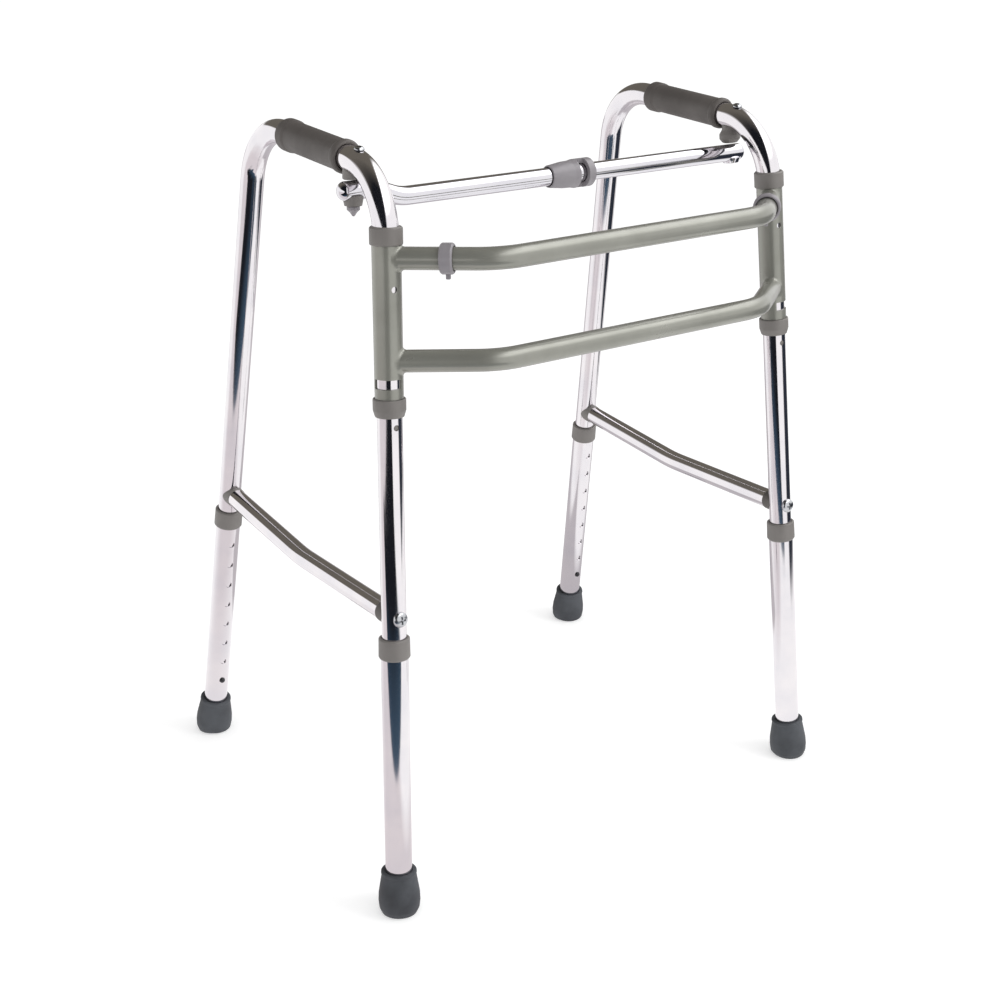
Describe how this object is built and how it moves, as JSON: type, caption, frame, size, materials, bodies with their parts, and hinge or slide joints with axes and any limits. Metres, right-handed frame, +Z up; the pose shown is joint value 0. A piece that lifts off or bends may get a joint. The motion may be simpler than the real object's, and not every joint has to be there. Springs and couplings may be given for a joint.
{
  "type": "folding walking frame",
  "caption": "Folding aluminium walking frame with hooped side frames, painted front bars, moulded grips, a latched crossbar and sliding button-locked legs on rubber feet.",
  "frame": {"origin": "centre of the model's box at floor height, under the four rubber feet", "axes": "+Z up, +Y towards the user, +X to the user's left as the frame is seen from the front, so that the front bars face -Y"},
  "size_m": [0.6162, 0.5192, 0.8001],
  "materials": {
    "left_sleeve_paint": "satin grey-green paint",
    "right_sleeve_paint": "satin grey-green paint",
    "upper_bar_paint": "satin grey-green paint",
    "lower_bar_paint": "satin grey-green paint",
    "left_ring_clip_collar": "satin moulded",
    "right_ring_clip_collar": "satin moulded",
    "left_side_tube_aluminium": "polished",
    "left_top_bush_collar": "satin moulded",
    "left_bottom_bush_collar": "satin moulded",
    "left_grip_grip": "fine matt texture",
    "left_brace_aluminium": "polished",
    "left_brace_front_end_black": "matt",
    "left_brace_rear_end_collar": "satin moulded",
    "left_brace_bolt_steel": "satin",
    "left_bracket_block_collar": "satin moulded",
    "left_bracket_screw_steel": "satin",
    "left_front_button_spring_steel": "satin",
    "left_rear_button_spring_steel": "satin",
    "left_pivot_bolt_steel": "satin",
    "right_side_tube_aluminium": "polished",
    "right_top_bush_collar": "satin moulded",
    "right_bottom_bush_collar": "satin moulded",
    "right_grip_grip": "fine matt texture",
    "right_brace_aluminium": "polished",
    "right_brace_front_end_black": "matt",
    "right_brace_rear_end_collar": "satin moulded",
    "right_brace_bolt_steel": "satin",
    "right_bracket_block_collar": "satin moulded",
    "right_bracket_screw_steel": "satin",
    "right_front_button_spring_steel": "satin",
    "right_rear_button_spring_steel": "satin",
    "left_strut_chrome": "polished",
    "left_strut_saddle_collar": "satin moulded",
    "left_tongue_steel": "satin",
    "right_strut_chrome": "polished",
    "right_strut_saddle_collar": "satin moulded",
    "right_fork_steel": "satin",
    "centre_pin_steel": "satin",
    "right_pivot_bolt_steel": "satin",
    "latch_sleeve_collar": "satin moulded",
    "left_front_leg_aluminium": "polished",
    "left_front_collar_collar": "satin moulded",
    "left_front_foot_rubber": "matt",
    "left_front_snap_button_black": "matt",
    "left_rear_leg_aluminium": "polished",
    "left_rear_collar_collar": "satin moulded",
    "left_rear_foot_rubber": "matt",
    "left_rear_snap_button_black": "matt",
    "right_front_leg_aluminium": "polished",
    "right_front_collar_collar": "satin moulded",
    "right_front_foot_rubber": "matt",
    "right_front_snap_button_black": "matt",
    "right_rear_leg_aluminium": "polished",
    "right_rear_collar_collar": "satin moulded",
    "right_rear_foot_rubber": "matt",
    "right_rear_snap_button_black": "matt"
  },
  "bodies": {
    "front_frame": {"left_sleeve": "left_sleeve_paint", "right_sleeve": "right_sleeve_paint", "upper_bar": "upper_bar_paint", "lower_bar": "lower_bar_paint", "left_ring_clip": "left_ring_clip_collar", "right_ring_clip": "right_ring_clip_collar"},
    "left_side_frame": {"left_side_tube": "left_side_tube_aluminium", "left_top_bush": "left_top_bush_collar", "left_bottom_bush": "left_bottom_bush_collar", "left_grip": "left_grip_grip", "left_brace": "left_brace_aluminium", "left_brace_front_end": "left_brace_front_end_black", "left_brace_rear_end": "left_brace_rear_end_collar", "left_brace_bolt": "left_brace_bolt_steel", "left_bracket_block": "left_bracket_block_collar", "left_bracket_screw": "left_bracket_screw_steel", "left_front_button_spring": "left_front_button_spring_steel", "left_rear_button_spring": "left_rear_button_spring_steel", "left_pivot_bolt": "left_pivot_bolt_steel"},
    "right_side_frame": {"right_side_tube": "right_side_tube_aluminium", "right_top_bush": "right_top_bush_collar", "right_bottom_bush": "right_bottom_bush_collar", "right_grip": "right_grip_grip", "right_brace": "right_brace_aluminium", "right_brace_front_end": "right_brace_front_end_black", "right_brace_rear_end": "right_brace_rear_end_collar", "right_brace_bolt": "right_brace_bolt_steel", "right_bracket_block": "right_bracket_block_collar", "right_bracket_screw": "right_bracket_screw_steel", "right_front_button_spring": "right_front_button_spring_steel", "right_rear_button_spring": "right_rear_button_spring_steel"},
    "left_half_crossbar": {"left_strut": "left_strut_chrome", "left_strut_saddle": "left_strut_saddle_collar", "left_tongue": "left_tongue_steel"},
    "right_half_crossbar": {"right_strut": "right_strut_chrome", "right_strut_saddle": "right_strut_saddle_collar", "right_fork": "right_fork_steel", "centre_pin": "centre_pin_steel", "right_pivot_bolt": "right_pivot_bolt_steel"},
    "latch": {"latch_sleeve": "latch_sleeve_collar"},
    "left_front_lower_leg": {"left_front_leg": "left_front_leg_aluminium", "left_front_collar": "left_front_collar_collar", "left_front_foot": "left_front_foot_rubber"},
    "left_front_button": {"left_front_snap_button": "left_front_snap_button_black"},
    "left_rear_lower_leg": {"left_rear_leg": "left_rear_leg_aluminium", "left_rear_collar": "left_rear_collar_collar", "left_rear_foot": "left_rear_foot_rubber"},
    "left_rear_button": {"left_rear_snap_button": "left_rear_snap_button_black"},
    "right_front_lower_leg": {"right_front_leg": "right_front_leg_aluminium", "right_front_collar": "right_front_collar_collar", "right_front_foot": "right_front_foot_rubber"},
    "right_front_button": {"right_front_snap_button": "right_front_snap_button_black"},
    "right_rear_lower_leg": {"right_rear_leg": "right_rear_leg_aluminium", "right_rear_collar": "right_rear_collar_collar", "right_rear_foot": "right_rear_foot_rubber"},
    "right_rear_button": {"right_rear_snap_button": "right_rear_snap_button_black"}
  },
  "joints": [
    {"name": "left_fold", "type": "hinge", "parent": "front_frame", "child": "left_side_frame", "pos_m": [-0.25457, -0.18359, 0.5596], "axis": [-0.0555, -0.0811, -0.9952], "range_deg": [0, 95]},
    {"name": "right_fold", "type": "hinge", "parent": "front_frame", "child": "right_side_frame", "pos_m": [0.25457, -0.18359, 0.5596], "axis": [-0.0555, 0.0811, 0.9952], "range_deg": [0, 61.76]},
    {"name": "left_crossbar_pivot", "type": "hinge", "parent": "left_side_frame", "child": "left_half_crossbar", "pos_m": [-0.24473, -0.1075, 0.736], "axis": [-0.0555, -0.0811, -0.9952], "range_deg": [-60.28, 0]},
    {"name": "centre_hinge", "type": "hinge", "parent": "left_half_crossbar", "child": "right_half_crossbar", "pos_m": [0, -0.1075, 0.736], "axis": [0, 0.0598, 0.9982], "range_deg": [0, 79.88]},
    {"name": "latch_slide", "type": "slide", "parent": "right_half_crossbar", "child": "latch", "axis": [1, 0, 0], "range_m": [0, 0.0901]},
    {"name": "left_front_leg_slide", "type": "slide", "parent": "left_side_frame", "child": "left_front_lower_leg", "axis": [-0.0555, -0.0811, -0.9952], "range_m": [0, 0.171]},
    {"name": "left_front_button_press", "type": "slide", "parent": "left_side_frame", "child": "left_front_button", "axis": [0.0045, -0.9967, 0.081], "range_m": [0, 0.0052], "stiffness_N_per_m": 500, "springref_m": -0.004},
    {"name": "left_rear_leg_slide", "type": "slide", "parent": "left_side_frame", "child": "left_rear_lower_leg", "axis": [-0.0549, 0.171, -0.9837], "range_m": [0, 0.171]},
    {"name": "left_rear_button_press", "type": "slide", "parent": "left_side_frame", "child": "left_rear_button", "axis": [0.0095, 0.9853, 0.1707], "range_m": [0, 0.0052], "stiffness_N_per_m": 500, "springref_m": -0.004},
    {"name": "right_front_leg_slide", "type": "slide", "parent": "right_side_frame", "child": "right_front_lower_leg", "axis": [0.0555, -0.0811, -0.9952], "range_m": [0, 0.171]},
    {"name": "right_front_button_press", "type": "slide", "parent": "right_side_frame", "child": "right_front_button", "axis": [-0.0045, -0.9967, 0.081], "range_m": [0, 0.0052], "stiffness_N_per_m": 500, "springref_m": -0.004},
    {"name": "right_rear_leg_slide", "type": "slide", "parent": "right_side_frame", "child": "right_rear_lower_leg", "axis": [0.0549, 0.171, -0.9837], "range_m": [0, 0.171]},
    {"name": "right_rear_button_press", "type": "slide", "parent": "right_side_frame", "child": "right_rear_button", "axis": [-0.0095, 0.9853, 0.1707], "range_m": [0, 0.0052], "stiffness_N_per_m": 500, "springref_m": -0.004}
  ],
  "couplings": [
    {"joint": "right_fold", "follows": "left_fold", "ratio": 0.65},
    {"joint": "left_crossbar_pivot", "follows": "left_fold", "ratio": -0.63447},
    {"joint": "centre_hinge", "follows": "left_fold", "ratio": 0.84071},
    {"joint": "latch_slide", "follows": "left_fold", "m_per_rad": 0.05428}
  ]
}
